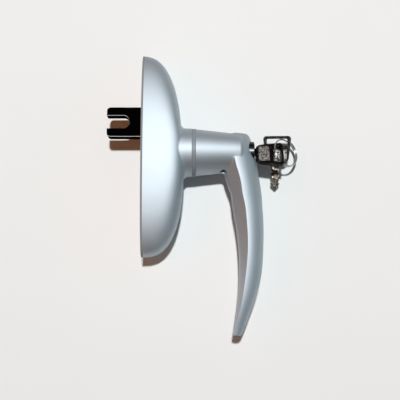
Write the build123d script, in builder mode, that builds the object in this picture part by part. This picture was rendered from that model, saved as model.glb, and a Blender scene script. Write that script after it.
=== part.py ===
"""Lockable window handle with fork drive, millimetres.

The mounting face lies at X = 0, +X points into the room, +Z runs up the base, and the
grip hangs down at rest. The origin is on the turning axis, midway between the two
fixing holes. Turning the grip turns a pinion, and a rack slides the fork down the base.
"""
from build123d import *
from math import acos, atan2, cos, pi, radians, sin, tan
import os

os.makedirs("parts", exist_ok=True)

# Base housing, a domed oval casting
base_half_width = 20.5
base_top_reach = 77.3
base_bottom_reach = 81.2
base_height = 32.2
base_top_height = 30.6
base_wall = 2.6
width_power = 6.5
top_power = 2.3
bottom_power = 2.75
outline_power = 2.4
crown_share = 0.985
top_crown_share = 0.9975
dome_shares = (0.0, 0.2, 0.38, 0.54, 0.68, 0.79, 0.88, 0.945)
outline_points = 24
back_plate_thickness = 1.5
gasket_width = 2.2
plate_clearance = 0.1
plate_screw_inset = 9.8
plate_screw_radius = 1.5
plate_screw_head = 2.8
plate_screw_length = 9.0
plate_boss_radius = 3.1
boss_cover = 0.8

# Collar, bearing ring and their stack along the turning axis
collar_radius = 18.7
collar_end = 38.4
collar_fillet = 4.0
ring_thickness = 3.05
ring_radius = 18.4
ring_edge = 0.35
bolt_pocket_play = 0.2
sleeve_radius = 10.55
sleeve_seat = 0.05
support_radius = 13.2
support_start = 25.0
collar_start = 12.0
running_gap = 0.05

# Fixing holes for M5 screws that come through the sash profile
fixing_spacing = 104.0
fixing_core_radius = 2.1
fixing_depth = 14.0
fixing_boss_radius = 5.0

# Handle casting: level, inner face, outer face, widest line and half width of the grip
neck_radius = 18.1
neck_taper = 6.3
neck_end = 77.6
neck_end_fillet = 3.0
neck_root_fillet = 3.0
grip_stations = (
    (14.6, 66.0, 80.9, 71.0, 6.0),
    (7.5, 63.0, 84.3, 70.5, 11.2),
    (0.0, 62.0, 85.9, 70.6, 13.4),
    (-8.0, 62.2, 88.0, 71.0, 13.7),
    (-16.5, 63.0, 89.5, 73.2, 13.3),
    (-27.0, 66.1, 91.0, 75.7, 12.7),
    (-40.0, 69.0, 92.2, 78.0, 12.0),
    (-57.0, 71.7, 93.0, 79.8, 11.4),
    (-77.0, 73.8, 92.5, 80.2, 10.8),
    (-97.0, 74.0, 90.4, 78.2, 10.0),
    (-114.5, 72.4, 85.3, 75.5, 8.6),
    (-128.0, 70.4, 80.2, 72.2, 6.6),
    (-139.4, 68.7, 75.2, 70.4, 4.4),
)
grip_facet = 8.0
grip_top_fillet = 2.4
grip_tip_fillet = 0.9
spigot_radius = 8.0
spigot_end = 21.0
clip_start = 22.2
clip_thickness = 1.2
clip_depth = 0.95
clip_reach = 2.4
clip_gap = 50.0
washer_radius = 12.4
seat_gap = 0.05
spindle_side = 7.0
spindle_end = 65.3
socket_clearance = 0.05

# Pinion and rack
tooth_module = 1.5
pinion_teeth = 15
pressure_angle = 20.0
pinion_start = 5.0
pinion_width = 5.0
pinion_dedendum = 1.8
pinion_hub_radius = 7.2
rack_addendum = 1.2
rack_dedendum = 1.85
rack_backlash = 0.16
rack_back = 2.0
turn_range = 180.0

# Slider, fork and the slot for it
slider_gap = 0.1
slider_thickness = 3.0
slider_far_side = 10.0
slider_tail = 8.0
slider_nose = 41.0
guide_gap = 0.12
guide_height = 3.2
guide_width = 1.3
guide_half_length = 30.0
fork_center = 23.4
fork_height = 23.4
fork_thickness = 9.3
fork_reach = 27.6
fork_slot = 10.0
fork_slot_depth = 17.7
fork_tip_radius = 3.0
fork_edge = 0.6
fork_slot_play = 0.35
fork_screw_spacing = 13.0
fork_screw_radius = 1.5
fork_screw_head = 2.8
fork_screw_depth = 7.0

# Lock in the head of the handle
barrel_radius = 8.5
barrel_start = 68.2
barrel_end = 86.4
barrel_seat = 0.05
barrel_chamfer = 0.6
barrel_clip_station = 74.0
barrel_clip_width = 1.0
barrel_clip_depth = 0.7
barrel_clip_reach = 0.4
plug_radius = 6.0
cam_thickness = 1.9
cam_clearance = 0.15
cam_radius = 8.1
cam_room = 2.1
ramp_height = 2.1
ramp_inner_radius = 5.9
ramp_half_angle = 8.0
bolt_offset = 11.3
bolt_radius = 2.0
bolt_play = 0.06
bolt_travel = 2.6
bolt_nose_gap = 0.15
bolt_foot_length = 2.5
bolt_foot_inner = 6.6
bolt_foot_play = 0.2
grub_station = 62.4
grub_angle = 76.5
grub_radius = 2.5
grub_length = 6.5
grub_socket_depth = 2.5
grub_key_size = 2.5

# Keys and the split ring that joins them
key_width = 22.4
key_near_width = 17.0
key_length = 21.6
key_offset = -1.9
key_thickness = 3.4
key_edge = 0.45
key_corner = 2.4
key_shoulder_corner = 5.0
key_slot_width = 16.4
key_slot_height = 5.8
key_slot_margin = 2.1
key_slot_corner = 1.2
key_bar = 3.1
key_recess = 0.45
key_recess_length = 8.4
key_recess_width = 14.4
blade_width = 6.8
blade_thickness = 2.0
blade_length = 19.4
blade_point = 3.4
blade_groove_width = 1.3
blade_groove_depth = 0.45
blade_play = 0.1
bitting_depths = (0.8, 1.4, 0.6, 1.2, 0.9)
bitting_pitch = 2.6
bitting_start = 3.6
key_standoff = 0.6
key_gap = 1.2
key_tilt = 27.0
spare_shoulder = (103.54, 10.44, -6.4)
spare_tilt = 10.14
spare_lean = -0.51
wire_radius = 0.55
coil_radius = 11.2
coil_center = (111.43, 5.37, 1.12)
coil_tilt = 14.52
coil_swing = 37.66
coil_pitch = 1.56
coil_turns = 1.57
coil_start_angle = 207.4

# Worked out from the sizes above
pitch_radius = tooth_module * pinion_teeth / 2
tooth_pitch = pi * tooth_module
fork_travel = pitch_radius * radians(turn_range)
slider_start = back_plate_thickness + slider_gap
slider_end = slider_start + slider_thickness
ring_end = collar_end + ring_thickness
neck_start = ring_end + running_gap
rack_line = pitch_radius + running_gap
rack_outer = rack_line + rack_dedendum + rack_back
washer_start = clip_start + clip_thickness + seat_gap
cam_end = barrel_start - cam_clearance
cam_start = cam_end - cam_thickness
foot_end = cam_start - cam_clearance
foot_start = foot_end - bolt_foot_length
foot_low = bolt_foot_inner
foot_high = bolt_offset + bolt_radius
head_room = neck_end + neck_radius
socket_side = spindle_side + 2 * socket_clearance
fork_screw_levels = (fork_center + fork_screw_spacing / 2, fork_center - fork_screw_spacing / 2)
grub_plane = Plane(
    (grub_station, 0, 0),
    x_dir=(1, 0, 0),
    z_dir=(0, -cos(radians(grub_angle)), -sin(radians(grub_angle))),
)
key_plane = Plane(
    (barrel_end + key_gap, 0, 0),
    x_dir=(1, 0, 0),
    z_dir=(0, -cos(radians(key_tilt)), sin(radians(key_tilt))),
)
spare_plane = Plane(
    spare_shoulder,
    x_dir=(sin(radians(spare_lean)), -sin(radians(spare_tilt)), cos(radians(spare_tilt))),
    z_dir=(0, -cos(radians(spare_tilt)), -sin(radians(spare_tilt))),
)
coil_side = Vector(cos(radians(coil_swing)), sin(radians(coil_swing)), 0)
coil_rise = Vector(0, sin(radians(coil_tilt)), cos(radians(coil_tilt)))
coil_axis = coil_side.cross(coil_rise).normalized()
coil_plane = Plane(
    Vector(coil_center) - coil_axis * coil_pitch * coil_turns / 2,
    x_dir=coil_side.rotate(Axis((0, 0, 0), coil_axis), coil_start_angle),
    z_dir=coil_axis,
)


def clip_corner(side):
    """Corner of the wedge that opens a spring ring."""
    angle = radians(clip_gap / 2)
    reach = 2 * spigot_radius
    return (reach * side * sin(angle), -reach * cos(angle))


def shrink(share, power):
    """Share of the full reach that a rounded form still has at a share of its height."""
    return (1 - share ** power) ** (1 / power)


def oval_outline(half_width, top, bottom):
    """Points of an oval whose upper and lower halves may reach differently far."""
    points = []
    bend = 2 / outline_power
    for step in range(outline_points):
        angle = 2 * pi * step / outline_points
        across = cos(angle)
        along = sin(angle)
        reach = top if along > 0 else bottom
        y = half_width * abs(across) ** bend * (1 if across > 0 else -1)
        z = reach * abs(along) ** bend * (1 if along > 0 else -1)
        points.append((y, z))
    return points


def dome_slices_at(inset, start):
    """Level outlines of the domed oval, from the back edge up to its crown."""
    height = base_height - inset
    top_height = base_top_height - inset
    slices = []
    for share in (*dome_shares, crown_share):
        level = max(share * height, start)
        part = level / height
        half_width = (base_half_width - inset) * shrink(part, width_power)
        top_part = min(level / top_height, top_crown_share)
        top = (base_top_reach - inset) * shrink(top_part, top_power)
        bottom = (base_bottom_reach - inset) * shrink(part, bottom_power)
        with BuildSketch(Plane.YZ.offset(level)) as outline:
            with BuildLine():
                Spline(*oval_outline(half_width, top, bottom), periodic=True)
            make_face()
        slices.append(outline.sketch)
    return slices


def dome_height(along, inset):
    """Height of the ridge of the dome at a distance up or down the base."""
    if along > 0:
        return (base_top_height - inset) * shrink(along / (base_top_reach - inset), top_power)
    return (base_height - inset) * shrink(-along / (base_bottom_reach - inset), bottom_power)


def boss_height(along, radius):
    """Height of a boss that ends inside the wall of the dome on its outer side."""
    return dome_height(along + radius if along > 0 else along - radius, 0) - boss_cover


def base_plate_face(inset):
    """Flat oval of the base outline on the mounting plane, drawn in by an inset."""
    with BuildSketch(Plane.YZ) as outline:
        with BuildLine():
            Spline(
                *oval_outline(
                    base_half_width - inset, base_top_reach - inset, base_bottom_reach - inset
                ),
                periodic=True,
            )
        make_face()
    return outline.sketch


fixing_levels = (fixing_spacing / 2, -fixing_spacing / 2)
plate_screw_levels = (base_top_reach - plate_screw_inset, plate_screw_inset - base_bottom_reach)

# Base housing: domed shell with the collar, its support tube and the screw bosses
with BuildPart() as base_housing:
    loft(sections=dome_slices_at(0, back_plate_thickness))
    with BuildSketch(Plane.YZ.offset(collar_start)):
        Circle(collar_radius)
    extrude(amount=collar_end - collar_start)
    root_edges = base_housing.edges().filter_by(
        lambda edge: edge.bounding_box().min.X > collar_start
        and edge.bounding_box().max.X < collar_end - 1
        and edge.bounding_box().size.Y > collar_fillet
    )
    collar_root = root_edges.filter_by(
        lambda edge: abs((edge @ 0.5).Y ** 2 + (edge @ 0.5).Z ** 2 - collar_radius ** 2) < 1
    )
    fillet(collar_root, collar_fillet)
    loft(sections=dome_slices_at(base_wall, back_plate_thickness), mode=Mode.SUBTRACT)
    with BuildSketch(Plane.YZ.offset(support_start)):
        Circle(support_radius)
    extrude(amount=collar_end - support_start)
    for level in fixing_levels:
        with BuildSketch(Plane.YZ):
            with Locations((0, level)):
                Circle(fixing_boss_radius)
        extrude(amount=boss_height(level, fixing_boss_radius))
    for level in plate_screw_levels:
        with BuildSketch(Plane.YZ.offset(back_plate_thickness)):
            with Locations((0, level)):
                Circle(plate_boss_radius)
        extrude(amount=boss_height(level, plate_boss_radius) - back_plate_thickness)
    with BuildSketch(Plane.YZ):
        with Locations(*[(0, level) for level in fixing_levels]):
            Circle(fixing_core_radius)
    extrude(amount=fixing_depth, mode=Mode.SUBTRACT)
    with BuildSketch(Plane.YZ.offset(back_plate_thickness)):
        with Locations(*[(0, level) for level in plate_screw_levels]):
            Circle(plate_screw_radius)
    extrude(amount=plate_screw_length, mode=Mode.SUBTRACT)
    with BuildSketch(Plane.YZ.offset(support_start)):
        Circle(sleeve_radius + sleeve_seat)
    extrude(amount=collar_end - support_start, mode=Mode.SUBTRACT)

base_housing.part.label = "base_housing"
export_step(base_housing.part, "parts/base_housing.step")

# Gasket: oval frame that seals the housing rim against the sash
with BuildPart() as gasket:
    extrude(base_plate_face(0), amount=back_plate_thickness)
    extrude(base_plate_face(gasket_width), amount=back_plate_thickness, mode=Mode.SUBTRACT)

gasket.part.label = "gasket"
export_step(gasket.part, "parts/gasket.step")

# Back plate: closes the housing and carries the slider, with the slot that the fork runs in
slot_top = fork_center + fork_height / 2 + fork_slot_play
slot_bottom = fork_center - fork_travel - fork_height / 2 - fork_slot_play
with BuildPart() as back_plate:
    extrude(base_plate_face(gasket_width + plate_clearance), amount=back_plate_thickness)
    with BuildSketch(Plane.YZ):
        with Locations((0, (slot_top + slot_bottom) / 2)):
            Rectangle(fork_thickness + 2 * fork_slot_play, slot_top - slot_bottom)
        with Locations(*[(0, level) for level in fixing_levels]):
            Circle(fixing_boss_radius + plate_clearance)
    extrude(amount=back_plate_thickness, mode=Mode.SUBTRACT)
    for level in plate_screw_levels:
        with Locations(Plane((0, 0, level), x_dir=(0, 1, 0), z_dir=(-1, 0, 0))):
            CounterSinkHole(plate_screw_radius, plate_screw_head, depth=back_plate_thickness)

back_plate.part.label = "back_plate"
export_step(back_plate.part, "parts/back_plate.step")

# Plate screws: countersunk screws that hold the back plate to the housing
with BuildPart() as plate_screws:
    for level in plate_screw_levels:
        with BuildSketch(Plane.YZ.offset(0)):
            with Locations((0, level)):
                Circle(plate_screw_head)
        with BuildSketch(Plane.YZ.offset(back_plate_thickness - 0.2)):
            with Locations((0, level)):
                Circle(plate_screw_radius)
        loft()
        with BuildSketch(Plane.YZ.offset(back_plate_thickness - 0.2)):
            with Locations((0, level)):
                Circle(plate_screw_radius)
        extrude(amount=plate_screw_length - 1)

plate_screws.part.label = "plate_screws"
export_step(plate_screws.part, "parts/plate_screws.step")

# Bearing ring: plastic flange and sleeve that the handle turns in
with BuildPart() as bearing_ring:
    with BuildSketch(Plane.YZ.offset(support_start)):
        Circle(sleeve_radius)
        Circle(spigot_radius + running_gap, mode=Mode.SUBTRACT)
    extrude(amount=collar_end - support_start)
    with BuildSketch(Plane.YZ.offset(collar_end)):
        Circle(ring_radius)
        Circle(spigot_radius + running_gap, mode=Mode.SUBTRACT)
    extrude(amount=ring_thickness)
    rim_edges = bearing_ring.edges().filter_by(GeomType.CIRCLE).filter_by(
        lambda edge: abs(edge.radius - ring_radius) < 0.01
    )
    chamfer(rim_edges, ring_edge)
    with BuildSketch(Plane.YZ.offset(collar_end)):
        with Locations((0, bolt_offset), (0, -bolt_offset)):
            Circle(bolt_radius + bolt_pocket_play)
    extrude(amount=ring_thickness, mode=Mode.SUBTRACT)

bearing_ring.part.label = "bearing_ring"
export_step(bearing_ring.part, "parts/bearing_ring.step")

# Slide guides: two plastic rails on the back plate, one each side of the slider
with BuildPart() as slide_guides:
    with BuildSketch(Plane.YZ.offset(back_plate_thickness)):
        with Locations((slider_far_side + guide_gap + guide_width / 2, 0)):
            Rectangle(guide_width, 2 * guide_half_length)
        with Locations((-rack_outer - guide_gap - guide_width / 2, 0)):
            Rectangle(guide_width, 2 * guide_half_length)
    extrude(amount=guide_height)

slide_guides.part.label = "slide_guides"
export_step(slide_guides.part, "parts/slide_guides.step")

def grip_section(level, inner, outer, widest, half_width):
    """Level slice of the grip: rounded outside, two flat facets and a rounded inside."""
    depth = widest - inner
    lean = atan2(depth, half_width) + radians(grip_facet)
    inner_radius = (half_width * sin(lean) - depth * cos(lean)) / (1 - cos(lean))
    corner = (inner + inner_radius * (1 - cos(lean)), inner_radius * sin(lean))
    with BuildSketch(Plane.XY.offset(level)) as outline:
        with BuildLine():
            EllipticalCenterArc((widest, 0), outer - widest, half_width, start_angle=-90, arc_size=180)
            Line((widest, half_width), corner)
            ThreePointArc(corner, (inner, 0), (corner[0], -corner[1]))
            Line((corner[0], -corner[1]), (widest, -half_width))
        make_face()
    return outline.sketch


# Handle casting: conical neck, spigot and curved grip in one piece
with BuildPart() as handle:
    loft(sections=[grip_section(*station) for station in grip_stations])
    top_edges = handle.edges().filter_by(
        lambda edge: edge.bounding_box().min.Z > grip_stations[0][0] - 0.1
    )
    fillet(top_edges, grip_top_fillet)
    with BuildSketch(Plane.XZ) as neck_profile:
        with BuildLine():
            Polyline(
                (neck_start, 0),
                (neck_start, neck_radius),
                (neck_end, neck_radius - (neck_end - neck_start) * tan(radians(neck_taper))),
                (neck_end, 0),
                close=True,
            )
        make_face()
        fillet(neck_profile.vertices().sort_by(Axis.X)[-2:].sort_by(Axis.Y)[-1], neck_end_fillet)
    revolve(axis=Axis.X)
    neck_root = handle.edges().filter_by(
        lambda edge: edge.bounding_box().max.X < neck_end
        and edge.bounding_box().min.X > neck_start + neck_root_fillet
        and edge.bounding_box().min.Z > -neck_radius
        and edge.bounding_box().max.Z < -neck_root_fillet
    )
    fillet(neck_root, neck_root_fillet)
    tip_edges = handle.edges().filter_by(
        lambda edge: edge.bounding_box().max.Z < grip_stations[-1][0] + 0.1
    )
    fillet(tip_edges, grip_tip_fillet)
    with BuildSketch(Plane.YZ.offset(spigot_end)):
        Circle(spigot_radius)
    extrude(amount=neck_start - spigot_end)

    with BuildSketch(Plane.YZ.offset(spigot_end)):
        Rectangle(socket_side, socket_side, rotation=grub_angle)
    extrude(amount=spindle_end + seat_gap - spigot_end, mode=Mode.SUBTRACT)
    with BuildSketch(Plane.YZ.offset(cam_start - cam_room)):
        Circle(barrel_radius + barrel_seat)
    extrude(amount=head_room - cam_start, mode=Mode.SUBTRACT)
    with BuildSketch(Plane.YZ.offset(neck_start)):
        with Locations((0, bolt_offset)):
            Circle(bolt_radius + bolt_play)
    extrude(amount=foot_start - neck_start, mode=Mode.SUBTRACT)
    with BuildSketch(Plane.YZ.offset(foot_start - bolt_travel - bolt_foot_play)):
        with Locations((0, (foot_low + foot_high) / 2)):
            Rectangle(2 * (bolt_radius + bolt_foot_play), foot_high - foot_low + 2 * bolt_foot_play)
    extrude(amount=bolt_travel + bolt_foot_length + 2 * bolt_foot_play, mode=Mode.SUBTRACT)
    with BuildSketch(grub_plane):
        Circle(grub_radius)
    extrude(amount=head_room, mode=Mode.SUBTRACT)
    with BuildSketch(Plane.YZ.offset(clip_start - seat_gap)):
        Circle(spigot_radius)
        Circle(spigot_radius - clip_depth, mode=Mode.SUBTRACT)
    extrude(amount=clip_thickness + 2 * seat_gap, mode=Mode.SUBTRACT)
    with BuildSketch(Plane.YZ.offset(barrel_clip_station - seat_gap)):
        Circle(barrel_radius + barrel_clip_reach + seat_gap)
        Circle(barrel_radius, mode=Mode.SUBTRACT)
    extrude(amount=barrel_clip_width + 2 * seat_gap, mode=Mode.SUBTRACT)

handle.part.label = "handle"
export_step(handle.part, "parts/handle.step")

# Spindle: square steel bar clamped in the neck, it carries the pinion
with BuildPart() as spindle:
    with BuildSketch(Plane.YZ.offset(pinion_start)):
        Rectangle(spindle_side, spindle_side, rotation=grub_angle)
    extrude(amount=spindle_end - pinion_start)
    chamfer(spindle.faces().sort_by(Axis.X)[0].edges(), seat_gap * 8)

spindle.part.label = "spindle"
export_step(spindle.part, "parts/spindle.step")

# Set screw: clamps the spindle through the underside of the neck
with BuildPart() as set_screw:
    with BuildSketch(grub_plane.offset(spindle_side / 2 + seat_gap)):
        Circle(grub_radius)
    extrude(amount=grub_length)
    with BuildSketch(grub_plane.offset(spindle_side / 2 + seat_gap + grub_length - grub_socket_depth)):
        RegularPolygon(grub_key_size / 2, 6, major_radius=False)
    extrude(amount=grub_socket_depth, mode=Mode.SUBTRACT)

set_screw.part.label = "set_screw"
export_step(set_screw.part, "parts/set_screw.step")


def roll_angle(angle):
    """Involute function, the roll of the flank at a pressure angle."""
    return tan(angle) - angle


def flank_points(center_angle, side):
    """Points of one involute flank, from the base circle out to the tip."""
    half_tooth = pi / (2 * pinion_teeth) + roll_angle(radians(pressure_angle))
    base_radius = pitch_radius * cos(radians(pressure_angle))
    points = []
    for step in range(5):
        radius = base_radius + (pitch_radius + tooth_module - base_radius) * step / 4
        spread = half_tooth - roll_angle(acos(base_radius / radius))
        angle = center_angle + side * spread
        points.append((radius * cos(angle), radius * sin(angle)))
    return points


# Pinion: involute gear with a hub that reaches up to the spigot
with BuildPart() as pinion:
    with BuildSketch(Plane.YZ.offset(pinion_start)):
        with BuildLine():
            for tooth in range(pinion_teeth):
                middle = pi + 2 * pi * tooth / pinion_teeth
                rising = flank_points(middle, -1)
                falling = flank_points(middle, 1)[::-1]
                root_radius = pitch_radius - pinion_dedendum
                start_angle = atan2(rising[0][1], rising[0][0])
                end_angle = atan2(falling[-1][1], falling[-1][0])
                next_start = flank_points(middle + 2 * pi / pinion_teeth, -1)[0]
                next_angle = atan2(next_start[1], next_start[0])
                root_start = (root_radius * cos(start_angle), root_radius * sin(start_angle))
                root_end = (root_radius * cos(end_angle), root_radius * sin(end_angle))
                root_next = (root_radius * cos(next_angle), root_radius * sin(next_angle))
                Line(root_start, rising[0])
                Spline(*rising)
                Line(rising[-1], falling[0])
                Spline(*falling)
                Polyline(falling[-1], root_end, root_next)
        make_face()
    extrude(amount=pinion_width)
    with BuildSketch(Plane.YZ.offset(pinion_start + pinion_width)):
        Circle(pinion_hub_radius)
    extrude(amount=spigot_end - seat_gap - pinion_start - pinion_width)
    with BuildSketch(Plane.YZ.offset(pinion_start)):
        Rectangle(socket_side, socket_side, rotation=grub_angle)
    extrude(amount=spigot_end - pinion_start, mode=Mode.SUBTRACT)

pinion.part.label = "pinion"
export_step(pinion.part, "parts/pinion.step")

# Retaining clip: open spring ring in the groove of the spigot
with BuildPart() as retaining_clip:
    with BuildSketch(Plane.YZ.offset(clip_start)):
        Circle(spigot_radius - clip_depth + seat_gap + clip_reach)
        Circle(spigot_radius - clip_depth + seat_gap, mode=Mode.SUBTRACT)
        with BuildLine():
            Polyline((0, 0), clip_corner(-1), clip_corner(1), close=True)
        make_face(mode=Mode.SUBTRACT)
    extrude(amount=clip_thickness)

retaining_clip.part.label = "retaining_clip"
export_step(retaining_clip.part, "parts/retaining_clip.step")

# Thrust washer between the clip and the support tube of the housing
with BuildPart() as thrust_washer:
    with BuildSketch(Plane.YZ.offset(washer_start)):
        Circle(washer_radius)
        Circle(spigot_radius + running_gap, mode=Mode.SUBTRACT)
    extrude(amount=support_start - seat_gap - washer_start)

thrust_washer.part.label = "thrust_washer"
export_step(thrust_washer.part, "parts/thrust_washer.step")

# Rack slider: flat plate with the rack standing on one side
with BuildPart() as rack_slider:
    with BuildSketch(Plane.YZ.offset(slider_start)):
        with Locations(((slider_far_side - rack_outer) / 2, (slider_nose - slider_tail) / 2)):
            Rectangle(slider_far_side + rack_outer, slider_nose + slider_tail)
    extrude(amount=slider_thickness)
    with BuildSketch(Plane.YZ.offset(slider_end)):
        with Locations((-rack_outer + rack_back / 2, (slider_nose - slider_tail) / 2)):
            Rectangle(rack_back, slider_nose + slider_tail)
        half_pitch = tooth_pitch / 2
        first_tooth = -int((slider_tail - half_pitch) / tooth_pitch)
        last_tooth = int((slider_nose - half_pitch) / tooth_pitch)
        for tooth in range(first_tooth - 1, last_tooth):
            middle = (tooth + 0.5) * tooth_pitch
            slope = tan(radians(pressure_angle))
            half_tooth = tooth_pitch / 4 - rack_backlash / 2
            root_half = half_tooth + rack_dedendum * slope
            tip_half = half_tooth - rack_addendum * slope
            with BuildLine():
                Polyline(
                    (-rack_line - rack_dedendum, middle - root_half),
                    (-rack_line + rack_addendum, middle - tip_half),
                    (-rack_line + rack_addendum, middle + tip_half),
                    (-rack_line - rack_dedendum, middle + root_half),
                    close=True,
                )
            make_face()
    extrude(amount=pinion_start + pinion_width - slider_end)
    for level in fork_screw_levels:
        with Locations(Plane((slider_end, 0, level), x_dir=(0, 1, 0), z_dir=(1, 0, 0))):
            CounterSinkHole(fork_screw_radius, fork_screw_head, depth=slider_thickness)

rack_slider.part.label = "rack_slider"
export_step(rack_slider.part, "parts/rack_slider.step")

# Fork: block with an open slot that takes the driving pin of the window gear
with BuildPart() as fork:
    with BuildSketch(Plane.XZ) as fork_profile:
        with Locations(((slider_start - fork_reach) / 2, fork_center)):
            Rectangle(slider_start + fork_reach, fork_height)
        fillet(fork_profile.vertices().group_by(Axis.X)[0], fork_tip_radius)
        slot_round = fork_slot / 2
        with Locations((-fork_reach, fork_center)):
            SlotCenterPoint((0, 0), (fork_slot_depth - slot_round, 0), fork_slot, mode=Mode.SUBTRACT)
    extrude(amount=fork_thickness / 2, both=True)
    face_edges = fork.edges().filter_by(
        lambda edge: abs(abs((edge @ 0.5).Y) - fork_thickness / 2) < 0.01
        and (edge @ 0.5).X < slider_start - 0.01
    )
    fillet(face_edges, fork_edge)
    with BuildSketch(Plane.YZ.offset(slider_start)):
        with Locations(*[(0, level) for level in fork_screw_levels]):
            Circle(fork_screw_radius)
    extrude(amount=-fork_screw_depth, mode=Mode.SUBTRACT)

fork.part.label = "fork"
export_step(fork.part, "parts/fork.step")

# Fork screws: two countersunk screws from the slider into the fork
with BuildPart() as fork_screws:
    for level in fork_screw_levels:
        with BuildSketch(Plane.YZ.offset(slider_end)):
            with Locations((0, level)):
                Circle(fork_screw_head)
        with BuildSketch(Plane.YZ.offset(slider_end - fork_screw_head + fork_screw_radius)):
            with Locations((0, level)):
                Circle(fork_screw_radius)
        loft()
        with BuildSketch(Plane.YZ.offset(slider_end - fork_screw_head + fork_screw_radius)):
            with Locations((0, level)):
                Circle(fork_screw_radius)
        extrude(amount=-(slider_thickness + fork_screw_depth - fork_screw_head))

fork_screws.part.label = "fork_screws"
export_step(fork_screws.part, "parts/fork_screws.step")

# Lock barrel: fixed sleeve of the lock, seated in the head of the handle
with BuildPart() as lock_barrel:
    with BuildSketch(Plane.YZ.offset(barrel_start)):
        Circle(barrel_radius)
        Circle(plug_radius + running_gap, mode=Mode.SUBTRACT)
    extrude(amount=barrel_end - barrel_start)
    chamfer(lock_barrel.faces().sort_by(Axis.X)[-1].edges().sort_by(SortBy.LENGTH)[-1], barrel_chamfer)
    with BuildSketch(Plane.YZ.offset(barrel_clip_station - seat_gap)):
        Circle(barrel_radius)
        Circle(barrel_radius - barrel_clip_depth, mode=Mode.SUBTRACT)
    extrude(amount=barrel_clip_width + 2 * seat_gap, mode=Mode.SUBTRACT)

lock_barrel.part.label = "lock_barrel"
export_step(lock_barrel.part, "parts/lock_barrel.step")

# Barrel clip: spring ring half in the barrel and half in the head
with BuildPart() as barrel_clip:
    with BuildSketch(Plane.YZ.offset(barrel_clip_station)):
        Circle(barrel_radius + barrel_clip_reach)
        Circle(barrel_radius - barrel_clip_depth + seat_gap, mode=Mode.SUBTRACT)
        with BuildLine():
            Polyline((0, 0), clip_corner(-1), clip_corner(1), close=True)
        make_face(mode=Mode.SUBTRACT)
    extrude(amount=barrel_clip_width)

barrel_clip.part.label = "barrel_clip"
export_step(barrel_clip.part, "parts/barrel_clip.step")

# Lock plug: turning core with the keyway
with BuildPart() as lock_plug:
    with BuildSketch(Plane.YZ.offset(cam_end)):
        Circle(plug_radius)
        Rectangle(
            blade_thickness + 2 * blade_play,
            blade_width + 2 * blade_play,
            rotation=-key_tilt,
            mode=Mode.SUBTRACT,
        )
    extrude(amount=barrel_end - cam_end)

lock_plug.part.label = "lock_plug"
export_step(lock_plug.part, "parts/lock_plug.step")

# Lock cam: disc behind the plug with a raised ramp that pushes the bolt
with BuildPart() as lock_cam:
    with BuildSketch(Plane.YZ.offset(cam_start)):
        Circle(cam_radius)
    extrude(amount=cam_thickness)
    with BuildSketch(Plane.YZ.offset(cam_start - ramp_height)):
        with BuildLine():
            ramp_outer = CenterArc((0, 0), cam_radius, -ramp_half_angle, 2 * ramp_half_angle)
            ramp_inner = CenterArc((0, 0), ramp_inner_radius, -ramp_half_angle, 2 * ramp_half_angle)
            Line(ramp_outer @ 0, ramp_inner @ 0)
            Line(ramp_outer @ 1, ramp_inner @ 1)
        make_face()
    extrude(amount=ramp_height)

lock_cam.part.label = "lock_cam"
export_step(lock_cam.part, "parts/lock_cam.step")

# Lock bolt: round pin with a foot, it drops into the bearing ring to stop the handle
with BuildPart() as lock_bolt:
    with BuildSketch(Plane.YZ.offset(neck_start + bolt_nose_gap)):
        with Locations((0, bolt_offset)):
            Circle(bolt_radius)
    extrude(amount=foot_start - neck_start - bolt_nose_gap)
    chamfer(lock_bolt.faces().sort_by(Axis.X)[0].edges(), bolt_radius / 5)
    with BuildSketch(Plane.YZ.offset(foot_start)):
        with Locations((0, (foot_low + foot_high) / 2)):
            Rectangle(2 * bolt_radius, foot_high - foot_low)
    extrude(amount=bolt_foot_length)

lock_bolt.part.label = "lock_bolt"
export_step(lock_bolt.part, "parts/lock_bolt.step")


def key_bow_face():
    """Outline of the key's bow with its slot, the blade side at the origin."""
    with BuildSketch(Plane.XY) as bow:
        with BuildLine():
            Polyline(
                (0, key_offset - key_near_width / 2),
                (key_length, key_offset - key_width / 2),
                (key_length, key_offset + key_width / 2),
                (0, key_offset + key_near_width / 2),
                close=True,
            )
        make_face()
        fillet(bow.vertices().group_by(Axis.X)[-1], key_corner)
        fillet(bow.vertices().group_by(Axis.X)[0], key_shoulder_corner)
        slot_middle = key_length - key_slot_margin - key_slot_height / 2
        with Locations((slot_middle, key_offset)):
            RectangleRounded(key_slot_height, key_slot_width, key_slot_corner, mode=Mode.SUBTRACT)
    return bow.sketch


def key_field_face():
    """Sunken field of the bow between its slot and the blade."""
    field_end = key_length - key_slot_margin - key_slot_height - key_bar
    with BuildSketch(Plane.XY) as field:
        with Locations((field_end - key_recess_length / 2, key_offset)):
            RectangleRounded(key_recess_length, key_recess_width, key_slot_corner)
    return field.sketch


def key_blade_face():
    """Flat outline of the blade with its pointed tip and its bitting notches."""
    with BuildSketch(Plane.XY) as blade:
        with BuildLine():
            Polyline(
                (key_standoff, -blade_width / 2),
                (blade_point - blade_length, -blade_width / 2),
                (-blade_length, -blade_thickness / 4),
                (-blade_length, blade_thickness / 4),
                (blade_point - blade_length, blade_width / 2),
                (key_standoff, blade_width / 2),
                close=True,
            )
        make_face()
        for side in (-1, 1):
            for index, depth in enumerate(bitting_depths[::side]):
                notch = -bitting_start - index * bitting_pitch
                with BuildLine():
                    Polyline(
                        (notch - bitting_pitch / 2, side * blade_width / 2),
                        (notch - bitting_pitch / 8, side * (blade_width / 2 - depth)),
                        (notch + bitting_pitch / 8, side * (blade_width / 2 - depth)),
                        (notch + bitting_pitch / 2, side * blade_width / 2),
                        close=True,
                    )
                make_face(mode=Mode.SUBTRACT)
    return blade.sketch


def key_groove_face():
    """Long groove along the flat of the blade."""
    with BuildSketch(Plane.XY) as groove:
        with Locations((-blade_length / 2, blade_width / 12)):
            Rectangle(blade_length, blade_groove_width)
    return groove.sketch


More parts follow.
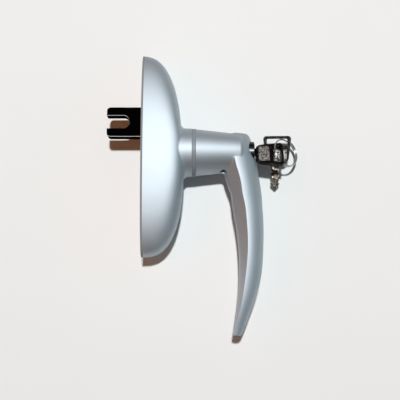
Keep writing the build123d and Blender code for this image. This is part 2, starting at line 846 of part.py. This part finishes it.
def key_solid(place):
    """Whole key: bow, blade, sunken fields and grooves, set on a plane."""
    with BuildPart() as shape:
        extrude(key_bow_face(), amount=key_thickness / 2, both=True)
        chamfer(shape.faces().filter_by(Axis.Z).edges(), key_edge)
        extrude(key_blade_face(), amount=blade_thickness / 2, both=True)
        for face in (1, -1):
            field = Plane.XY.offset(face * (key_thickness / 2 - key_recess)) * key_field_face()
            extrude(field, amount=face * key_recess, mode=Mode.SUBTRACT)
            groove_floor = Plane.XY.offset(face * (blade_thickness / 2 - blade_groove_depth))
            groove = groove_floor * key_groove_face()
            extrude(groove, amount=face * blade_groove_depth, mode=Mode.SUBTRACT)
    return place * shape.part


# Key: stands in the lock with its blade in the plug
with BuildPart() as key:
    add(key_solid(key_plane))

key.part.label = "key"
export_step(key.part, "parts/key.step")

# Spare key: hangs on the split ring behind the first one
with BuildPart() as spare_key:
    add(key_solid(spare_plane))

spare_key.part.label = "spare_key"
export_step(spare_key.part, "parts/spare_key.step")

# Split ring: nearly two turns of spring wire through the slots of both keys
with BuildPart() as key_ring:
    with BuildLine() as coil:
        Helix(coil_pitch, coil_pitch * coil_turns, coil_radius)
    with BuildSketch(Plane(coil.line @ 0, z_dir=coil.line % 0)):
        Circle(wire_radius)
    sweep(path=coil.line, is_frenet=True)

key_ring.part = coil_plane * key_ring.part
key_ring.part.label = "key_ring"
export_step(key_ring.part, "parts/key_ring.step")
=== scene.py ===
# %% [markdown]
# # Lockable window handle
#
# A die-cast window handle in silver paint: a domed oval base, a grey bearing ring, a
# conical neck that bends into a drop grip, a lock with its keys, and a black fork behind.
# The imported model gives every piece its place. This notebook adds the finishes, the light
# and the camera. Lengths are in metres, +X points into the room and +Z up the base.

# %% Load the model
import bpy
import numpy as np
from math import cos, pi, radians, sin
from mathutils import Matrix, Vector

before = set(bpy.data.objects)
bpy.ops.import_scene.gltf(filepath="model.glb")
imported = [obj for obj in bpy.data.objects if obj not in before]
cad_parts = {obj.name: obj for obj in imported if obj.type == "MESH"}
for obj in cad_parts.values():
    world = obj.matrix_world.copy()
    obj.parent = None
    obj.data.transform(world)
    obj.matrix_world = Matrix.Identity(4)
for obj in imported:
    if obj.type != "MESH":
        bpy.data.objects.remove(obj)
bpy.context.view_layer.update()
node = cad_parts

# %% [markdown]
# ## Smooth shading for machined and cast faces
#
# The model arrives as loose flat triangles. One could mark sharp edges by hand, but a
# small geometry node group does it for every piece: it welds the corners, shades smooth,
# and leaves an edge hard where its two faces meet at more than a chosen angle.

# %% Smooth by angle
weld_distance = 2e-6
sharp_angle_deg = 28


def soft_shading(limit_deg):
    """Node group that welds the corners and keeps edges sharper than the limit hard."""
    tree = bpy.data.node_groups.new(f"soft_shading_{limit_deg}", "GeometryNodeTree")
    tree.interface.new_socket("Geometry", in_out="INPUT", socket_type="NodeSocketGeometry")
    tree.interface.new_socket("Geometry", in_out="OUTPUT", socket_type="NodeSocketGeometry")
    add = tree.nodes.new
    start, end = add("NodeGroupInput"), add("NodeGroupOutput")
    weld, angle = add("GeometryNodeMergeByDistance"), add("GeometryNodeInputMeshEdgeAngle")
    compare = add("FunctionNodeCompare")
    faces, edges = add("GeometryNodeSetShadeSmooth"), add("GeometryNodeSetShadeSmooth")
    weld.inputs["Distance"].default_value = weld_distance
    faces.domain, edges.domain = "FACE", "EDGE"
    compare.data_type, compare.operation = "FLOAT", "GREATER_THAN"
    compare.inputs[1].default_value = radians(limit_deg)
    edges.inputs["Shade Smooth"].default_value = False
    link = tree.links.new
    link(start.outputs[0], weld.inputs["Geometry"])
    link(weld.outputs[0], faces.inputs["Geometry"])
    link(faces.outputs[0], edges.inputs["Geometry"])
    link(angle.outputs["Unsigned Angle"], compare.inputs[0])
    link(compare.outputs["Result"], edges.inputs["Selection"])
    link(edges.outputs[0], end.inputs[0])
    return tree


shading = soft_shading(sharp_angle_deg)
for name in node:
    node[name].modifiers.new("soft_shading", "NODES").node_group = shading
print("soft shading on", len(node), "nodes")

# %% [markdown]
# ## A small kit for finishes
#
# Every finish here is a Principled shader fed by noise on Object coordinates, so that its
# grain stays put when the piece turns. The helper makes the shader, sets its plain values
# on the shader's own sockets, and adds a bump from noise of a chosen grain size.

# %% Finish helper
def finish(name, color, metal=0.0, rough=0.4, **plain):
    """New material with a Principled shader. Extra words set its sockets by name."""
    mat = bpy.data.materials.new(name)
    mat.use_nodes = True
    shader = mat.node_tree.nodes["Principled BSDF"]
    shader.inputs["Base Color"].default_value = (*color, 1)
    shader.inputs["Metallic"].default_value = metal
    shader.inputs["Roughness"].default_value = rough
    for socket, value in plain.items():
        shader.inputs[socket.replace("_", " ")].default_value = value
    return mat, mat.node_tree, shader


def place(tree):
    """Object coordinates of the piece."""
    return tree.nodes.new("ShaderNodeTexCoord").outputs["Object"]


def noise(tree, grain_mm, detail=2.0, where=None):
    """Noise with cells of about the given size, values from 0 to 1 around 0.5."""
    tex = tree.nodes.new("ShaderNodeTexNoise")
    tex.inputs["Scale"].default_value = 1000 / grain_mm
    tex.inputs["Detail"].default_value = detail
    tree.links.new(where or place(tree), tex.inputs["Vector"])
    return tex.outputs["Fac"]


def spread(tree, value, low, high, start=0.3, stop=0.7):
    """Maps a value from start..stop to low..high."""
    part = tree.nodes.new("ShaderNodeMapRange")
    ends = {"From Min": start, "From Max": stop, "To Min": low, "To Max": high}
    for socket, number in ends.items():
        part.inputs[socket].default_value = number
    tree.links.new(value, part.inputs["Value"])
    return part.outputs["Result"]


def blend(tree, factor, first, second):
    """Mixes two colours by a factor. Each may be a colour or a socket."""
    mix = tree.nodes.new("ShaderNodeMix")
    mix.data_type = "RGBA"
    tree.links.new(factor, mix.inputs["Factor"])
    for socket, color in ((mix.inputs["A"], first), (mix.inputs["B"], second)):
        if hasattr(color, "is_linked"):
            tree.links.new(color, socket)
        else:
            socket.default_value = (*color, 1)
    return mix.outputs["Result"]


def product(tree, first, second):
    """Product of two sockets."""
    part = tree.nodes.new("ShaderNodeMath")
    part.operation = "MULTIPLY"
    tree.links.new(first, part.inputs[0])
    tree.links.new(second, part.inputs[1])
    return part.outputs[0]


def bump(tree, shader, height, depth_mm, under=None):
    """Bump of a real depth from a height socket, over another bump if one is given."""
    part = tree.nodes.new("ShaderNodeBump")
    part.inputs["Distance"].default_value = depth_mm / 1000
    part.inputs["Strength"].default_value = 1.0
    tree.links.new(height, part.inputs["Height"])
    if under:
        tree.links.new(under, part.inputs["Normal"])
    tree.links.new(part.outputs["Normal"], shader.inputs["Normal"])
    return part.outputs["Normal"]


print("finish helpers ready")

# %% [markdown]
# ## Silver paint
#
# The base and the handle wear a satin powder coat full of fine aluminium flakes. Flakes
# could be real glints, but at this size they read as a very fine change of shade, so fine
# noise moves the colour and the roughness, and a faint wave stands for the coat's skin.

# %% Silver paint
dark_flake, bright_flake = (0.44, 0.495, 0.54), (0.52, 0.575, 0.62)
cloud_color = (0.425, 0.49, 0.545)
silver, tree, shader = finish("silver_paint", (0.465, 0.52, 0.565), metal=0.9, rough=0.6)
flakes = noise(tree, grain_mm=0.16, detail=1.0)
clouds = noise(tree, grain_mm=14.0, detail=3.0)
tone = blend(tree, spread(tree, flakes, 0, 1), dark_flake, bright_flake)
coat = blend(tree, spread(tree, clouds, 0, 0.35), tone, cloud_color)
tree.links.new(coat, shader.inputs["Base Color"])
tree.links.new(spread(tree, flakes, 0.56, 0.64), shader.inputs["Roughness"])
skin = bump(tree, shader, noise(tree, grain_mm=0.9), depth_mm=0.012)
bump(tree, shader, flakes, depth_mm=0.004, under=skin)
print("silver paint", silver.name)

# %% [markdown]
# ## Black fork enamel
#
# The fork is a machined block in thick black enamel that gives almost nothing back. A thin
# bright line along its rounded lower edges is a painted highlight in the base colour, not a
# reflection: it lies where the normal points down and a little toward the camera side (-Y).

# %% Black enamel
enamel_color, painted_highlight_color = (0.001, 0.001, 0.001), (0.85, 0.87, 0.87)
black, tree, shader = finish("fork_enamel", enamel_color, rough=0.12, Specular_IOR_Level=0.0)
tree.links.new(spread(tree, noise(tree, 3.0, 3.0), 0.10, 0.20), shader.inputs["Roughness"])
surface, normal = tree.nodes.new("ShaderNodeNewGeometry"), tree.nodes.new("ShaderNodeSeparateXYZ")
tree.links.new(surface.outputs["Normal"], normal.inputs["Vector"])
# Painted highlight: a pale line painted into the base colour where the normal points down and to the
# front
downward = spread(tree, normal.outputs["Z"], 1.0, 0.0, -0.5, -0.3)
frontward = spread(tree, normal.outputs["Y"], 1.0, 0.0, -0.5, -0.35)
painted_highlight = blend(tree, product(tree, downward, frontward), enamel_color, painted_highlight_color)
tree.links.new(painted_highlight, shader.inputs["Base Color"])
bump(tree, shader, noise(tree, grain_mm=2.2), depth_mm=0.003)
print("enamel", black.name)

# %% [markdown]
# ## Moulded plastics and rubber
#
# The bearing ring is mid grey moulded plastic, the guides inside are black, and the seal
# behind the base is dark rubber. All are dull, with a fine moulded grain of their own.

# %% Plastics
def moulded(name, color, rough, grain_mm):
    """Dull moulded stuff with a fine grain and a faint change of shade."""
    mat, tree, shader = finish(name, color, rough=rough)
    lighter = tuple(min(1.0, c * 1.18) for c in color)
    tree.links.new(blend(tree, noise(tree, 6.0, 3.0), color, lighter), shader.inputs["Base Color"])
    bump(tree, shader, noise(tree, grain_mm, 2.0), 0.015)
    return mat


ring_plastic = moulded("ring_plastic", (0.20, 0.23, 0.26), 0.5, 0.3)
guide_plastic = moulded("guide_plastic", (0.03, 0.03, 0.032), 0.45, 0.4)
seal_rubber = moulded("seal_rubber", (0.20, 0.21, 0.22), 0.7, 0.2)
print("plastics ready")

# %% [markdown]
# ## Steels and brass
#
# The plate, slider, spindle, pinion, screws and springs are steel with different plating.
# One recipe serves them: a metal whose roughness and tint drift with noise, plus a fine
# drawn grain. Stretching the noise along one axis gives the grain its direction.

# %% Metals
def steel(name, color, rough, grain=(1, 1, 1), grain_mm=0.25, tint=None):
    """Bare or plated metal. The grain vector squeezes the noise along each axis."""
    mat, tree, shader = finish(name, color, metal=1.0, rough=rough)
    mapping = tree.nodes.new("ShaderNodeMapping")
    mapping.inputs["Scale"].default_value = grain
    tree.links.new(place(tree), mapping.inputs["Vector"])
    lines = noise(tree, grain_mm, 2.0, mapping.outputs["Vector"])
    patches = noise(tree, 4.0, 4.0)
    other = tint or tuple(c * 0.8 for c in color)
    tree.links.new(blend(tree, spread(tree, patches, 0, 1), color, other), shader.inputs["Base Color"])
    tree.links.new(spread(tree, lines, rough * 0.75, rough * 1.3), shader.inputs["Roughness"])
    bump(tree, shader, lines, 0.006)
    return mat


zinc = steel("zinc_steel", (0.62, 0.64, 0.66), 0.38, (1, 1, 0.1), tint=(0.55, 0.58, 0.55))
screw_steel = steel("screw_steel", (0.55, 0.56, 0.58), 0.35)
bar_steel = steel("spindle_steel", (0.56, 0.57, 0.58), 0.3, (0.06, 1, 1))
gear_steel = steel("gear_steel", (0.42, 0.42, 0.43), 0.42)
spring = steel("spring_steel", (0.20, 0.21, 0.24), 0.35)
black_steel = steel("black_steel", (0.03, 0.03, 0.032), 0.45)
brass = steel("lock_brass", (0.72, 0.53, 0.24), 0.32)
chrome = steel("lock_chrome", (0.055, 0.06, 0.065), 0.3)
wire = steel("ring_steel", (0.62, 0.62, 0.62), 0.2)
print("metals ready")

# %% [markdown]
# ## Keys
#
# The bow of each key is dark polished nickel round a sunken field of coarse bright grain,
# and the blade is worn to streaks of bare metal. A Mapping node turns Object coordinates
# into the key's own axes, along the blade and across it, so two ranges can pick the field.

# %% Key nickel
# Middle and half length of the sunken field, along the blade and across it
field_along_mm, field_across_mm = (6.4, 4.2), (-1.9, 7.2)
blade_end, bow_start = -0.0012, -0.0004


def band(tree, value, middle_mm, half_mm, soft_mm=0.3):
    """One inside the band round the middle, zero outside it."""
    shift, size = (tree.nodes.new("ShaderNodeMath") for _ in range(2))
    shift.operation, size.operation = "SUBTRACT", "ABSOLUTE"
    shift.inputs[1].default_value = middle_mm / 1000
    tree.links.new(value, shift.inputs[0])
    tree.links.new(shift.outputs[0], size.inputs[0])
    start, stop = (half_mm - soft_mm) / 1000, (half_mm + soft_mm) / 1000
    return spread(tree, size.outputs[0], 1, 0, start, stop)


def key_nickel(name, shoulder_mm, across, out_of_face):
    """Key metal for a key whose bow starts at the shoulder. Both vectors are unit axes."""
    mat, tree, shader = finish(name, (0.05, 0.045, 0.045), metal=1.0, rough=0.3)
    facing = np.array(out_of_face, float) / np.linalg.norm(out_of_face)
    along = np.array(across, float) - facing * np.dot(facing, across)
    along /= np.linalg.norm(along)
    turned = Matrix([along, np.cross(facing, along), facing]).transposed()
    own = tree.nodes.new("ShaderNodeMapping")
    own.vector_type = "TEXTURE"
    own.inputs["Location"].default_value = [value / 1000 for value in shoulder_mm]
    own.inputs["Rotation"].default_value = turned.to_euler("XYZ")
    tree.links.new(place(tree), own.inputs["Vector"])
    axes = tree.nodes.new("ShaderNodeSeparateXYZ")
    tree.links.new(own.outputs["Vector"], axes.inputs["Vector"])

    in_length = band(tree, axes.outputs["X"], *field_along_mm)
    in_width = band(tree, axes.outputs["Y"], *field_across_mm)
    field = product(tree, in_length, in_width)
    grain = spread(tree, noise(tree, 0.9, 3.0), 0, 1, 0.44, 0.58)
    bow = blend(tree, product(tree, field, grain), (0.03, 0.025, 0.027), (0.70, 0.68, 0.63))
    wear = spread(tree, noise(tree, 1.3, 3.0), 0, 1, 0.48, 0.6)
    streaks = blend(tree, wear, (0.025, 0.022, 0.02), (0.50, 0.45, 0.38))
    blade = spread(tree, axes.outputs["X"], 1, 0, blade_end, bow_start)
    tree.links.new(blend(tree, blade, bow, streaks), shader.inputs["Base Color"])
    tree.links.new(spread(tree, field, 0.22, 0.55, 0, 1), shader.inputs["Roughness"])
    bump(tree, shader, grain, depth_mm=0.08)
    return mat


# The first key is turned in the lock, the spare hangs from the ring and leans a little
key_tilt, spare_tilt, spare_lean = radians(27), radians(10.14), radians(-0.51)
first_nickel = key_nickel(
    "first_nickel", (87.6, 0, 0), (1, 0, 0), (0, -cos(key_tilt), sin(key_tilt))
)
spare_nickel = key_nickel(
    "spare_nickel",
    (103.54, 10.44, -6.4),
    (sin(spare_lean), -sin(spare_tilt), cos(spare_tilt)),
    (0, -cos(spare_tilt), -sin(spare_tilt)),
)
print("key finishes", first_nickel.name, spare_nickel.name)

# %% [markdown]
# ## Give each node its finish
#
# Each node has one material slot. Writing the new material into that slot changes only
# the look, and the mesh stays exactly as the model gave it.

# %% Assign
finishes = {
    silver: ("base_housing", "handle"),
    black: ("fork",),
    ring_plastic: ("bearing_ring",),
    guide_plastic: ("slide_guides",),
    seal_rubber: ("gasket",),
    zinc: ("back_plate", "thrust_washer"),
    screw_steel: ("plate_screws", "fork_screws"),
    bar_steel: ("spindle",),
    gear_steel: ("rack_slider", "pinion"),
    spring: ("retaining_clip", "barrel_clip"),
    black_steel: ("set_screw",),
    brass: ("lock_cam", "lock_bolt"),
    chrome: ("lock_barrel", "lock_plug"),
    first_nickel: ("key",),
    spare_nickel: ("spare_key",),
    wire: ("key_ring",),
}
for mat, names in finishes.items():
    for name in names:
        node[name].data.materials.clear()
        node[name].data.materials.append(mat)
print("finished", sum(len(names) for names in finishes.values()))

# %% [markdown]
# ## Backdrop
#
# The handle lies on its side on a pale table, so the table is an upright plane just behind
# it in this frame. The plane shows only its front: seen from behind it lets all rays
# through, so that the back of the handle can be looked at as well.

# %% Table behind the handle
table_y, half = 0.0206, 1.6
corners = [(x * half, table_y, z * half) for x, z in ((-1, -1), (1, -1), (1, 1), (-1, 1))]
mesh = bpy.data.meshes.new("table")
mesh.from_pydata(corners, [], [(0, 1, 2, 3)])
table = bpy.data.objects.new("table", mesh)
bpy.context.scene.collection.objects.link(table)
pale, tree, shader = finish("table_top", (0.84, 0.85, 0.85), rough=0.7)
shades = blend(tree, noise(tree, 60.0, 4.0), (0.825, 0.847, 0.85), (0.85, 0.87, 0.872))
tree.links.new(shades, shader.inputs["Base Color"])
clear = tree.nodes.new("ShaderNodeBsdfTransparent")
side = tree.nodes.new("ShaderNodeNewGeometry")
mix = tree.nodes.new("ShaderNodeMixShader")
tree.links.new(side.outputs["Backfacing"], mix.inputs["Fac"])
tree.links.new(shader.outputs[0], mix.inputs[1])
tree.links.new(clear.outputs[0], mix.inputs[2])
tree.links.new(mix.outputs[0], tree.nodes["Material Output"].inputs["Surface"])
mesh.materials.append(pale)
print("table faces", [round(v, 2) for v in mesh.polygons[0].normal])

# %% [markdown]
# ## Camera
#
# The photo was taken from about half a metre, slightly below the handle's level: the
# bearing ring shows as a straight line, the fork shows its underside, and the top of the
# base is foreshortened. The lens follows from that distance and the width of the picture.

# %% Camera
frame_width = 0.3068
distance = 0.55
pitch = radians(-9)
aim = np.array([0.04457, 0.0, -0.0371])
back = np.array([0.0, -cos(pitch), sin(pitch)])
eye = aim + distance * back
lens = bpy.data.cameras.new("photo_camera")
lens.lens = lens.sensor_width * distance / frame_width
camera = bpy.data.objects.new("photo_camera", lens)
camera.location = eye
camera.rotation_euler = (pi / 2 - pitch, 0, 0)
bpy.context.scene.collection.objects.link(camera)
bpy.context.scene.camera = camera
print("camera at", eye.round(3), "lens", round(lens.lens, 1))

# %% [markdown]
# ## Light
#
# The photo is a flash picture: one small lamp above and behind the camera gives the crisp
# shadow below each piece and the narrow bright band along the neck. A dim room fills the
# shadows. In front its left side is warm and its right side cool, which is why the shadow
# of the fork, open only to the left, turns brown. Behind the table the room is plain grey,
# and a weak lamp there serves the other views, which see a pale wall.

# %% Lamps and world
def lamp(name, place, size, watts, color=(1.0, 1.0, 1.0)):
    """Square area lamp that faces the middle of the handle."""
    data = bpy.data.lights.new(name, "AREA")
    data.size, data.energy, data.color = size, watts, color
    lamp_object = bpy.data.objects.new(name, data)
    lamp_object.location = place
    toward = Vector(aim) - lamp_object.location
    lamp_object.rotation_euler = toward.to_track_quat("-Z", "Y").to_euler()
    bpy.context.scene.collection.objects.link(lamp_object)


flash_rise, flash_reach, flash_side, flash_size = radians(12.5), 2.6, 0.06, 0.155
flash_color = (0.965, 0.985, 0.99)
full_light = pi * pi * flash_reach ** 2
flash_place = (flash_side, -flash_reach * cos(flash_rise), flash_reach * sin(flash_rise))
lamp("flash", flash_place, flash_size, 0.92 * full_light, flash_color)
lamp("back_lamp", aim + 1.1 * np.array([-0.3, 0.9, 0.35]), 0.9, 6)

world = bpy.data.worlds.new("room")
bpy.context.scene.world = world
world.use_nodes = True
tree = world.node_tree
room = tree.nodes["Background"]
warm, cool = (0.35, 0.125, 0.04), (0.13, 0.19, 0.20)
neutral, wall_color = (0.55, 0.55, 0.55), (0.66, 0.67, 0.68)
heading, parts = tree.nodes.new("ShaderNodeTexCoord"), tree.nodes.new("ShaderNodeSeparateXYZ")
tree.links.new(heading.outputs["Generated"], parts.inputs["Vector"])
sides = spread(tree, parts.outputs["X"], 0.0, 1.0, -0.3, 0.5)
rear = spread(tree, parts.outputs["Y"], 0.0, 1.0, -0.1, 0.2)
tree.links.new(blend(tree, rear, blend(tree, sides, warm, cool), neutral), room.inputs["Color"])
reach, level = (tree.nodes.new("ShaderNodeMath") for _ in range(2))
reach.operation, level.operation = "ABSOLUTE", "MAXIMUM"
tree.links.new(parts.outputs["X"], reach.inputs[0])
tree.links.new(spread(tree, reach.outputs[0], 0.14, 1.5, 0.15, 0.95), level.inputs[0])
tree.links.new(rear, level.inputs[1])
tree.links.new(level.outputs[0], room.inputs["Strength"])
wall, seen = tree.nodes.new("ShaderNodeBackground"), tree.nodes.new("ShaderNodeLightPath")
mix = tree.nodes.new("ShaderNodeMixShader")
wall.inputs["Color"].default_value = (*wall_color, 1)
tree.links.new(seen.outputs["Is Camera Ray"], mix.inputs["Fac"])
tree.links.new(room.outputs[0], mix.inputs[1])
tree.links.new(wall.outputs[0], mix.inputs[2])
tree.links.new(mix.outputs[0], tree.nodes["World Output"].inputs["Surface"])
bpy.context.scene.view_settings.view_transform = "Standard"
print("lamps", [light.name for light in bpy.data.lights])
